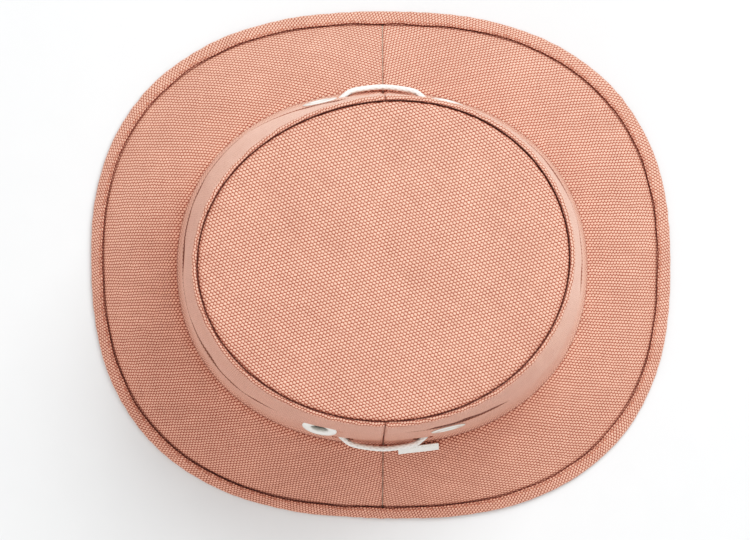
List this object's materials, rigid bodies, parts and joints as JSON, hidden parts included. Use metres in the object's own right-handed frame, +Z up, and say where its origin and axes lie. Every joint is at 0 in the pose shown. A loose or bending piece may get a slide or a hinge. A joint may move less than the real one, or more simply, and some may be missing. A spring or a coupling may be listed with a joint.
{
  "type": "bucket hat",
  "caption": "Oval-crowned canvas bucket hat with a sloping bound brim, side vents, a tucked wind cord and a side label tab.",
  "frame": {"origin": "centre of the hat's box in plan, on the surface that the brim's edge stands on", "axes": "+X towards the back of the hat, -Y towards the wearer's left with the label tab, +Z up out of the crown's tip"},
  "size_m": [0.2899, 0.2541, 0.124],
  "materials": {
    "canvas": "coarse plain-weave hemp and cotton canvas, salmon pink",
    "under_canvas": "the same canvas on the brim's underside",
    "stiffener": "non-woven interlining",
    "tape": "twill seam tape",
    "sweatband": "folded cotton band with stitched edges",
    "eyelet": "white lacquer on rolled brass",
    "cord": "braided cotton cord",
    "label": "blank woven label"
  },
  "bodies": {
    "hat": {"crown_tip": "canvas", "crown_wall_front": "canvas", "crown_wall_back": "canvas", "tip_seam_tape": "tape", "side_seam_tape_left": "tape", "side_seam_tape_right": "tape", "brim_top_front": "canvas", "brim_top_back": "canvas", "brim_stiffener": "stiffener", "brim_under_front": "under_canvas", "brim_under_back": "under_canvas", "brim_binding": "canvas", "sweatband": "sweatband", "eyelet_front_left": "eyelet", "eyelet_front_right": "eyelet", "eyelet_back_left": "eyelet", "eyelet_back_right": "eyelet", "washer_front_left": "eyelet", "washer_front_right": "eyelet", "washer_back_left": "eyelet", "washer_back_right": "eyelet", "wind_cord": "cord", "care_label": "label"},
    "label": {"label_tab": "label"}
  },
  "joints": [
    {"name": "label_lift", "type": "hinge", "parent": "hat", "child": "label", "pos_m": [0.0179, -0.08988, 0.03543], "axis": [-0.9908, -0.1158, 0.0707], "range_deg": [0, 60]}
  ]
}
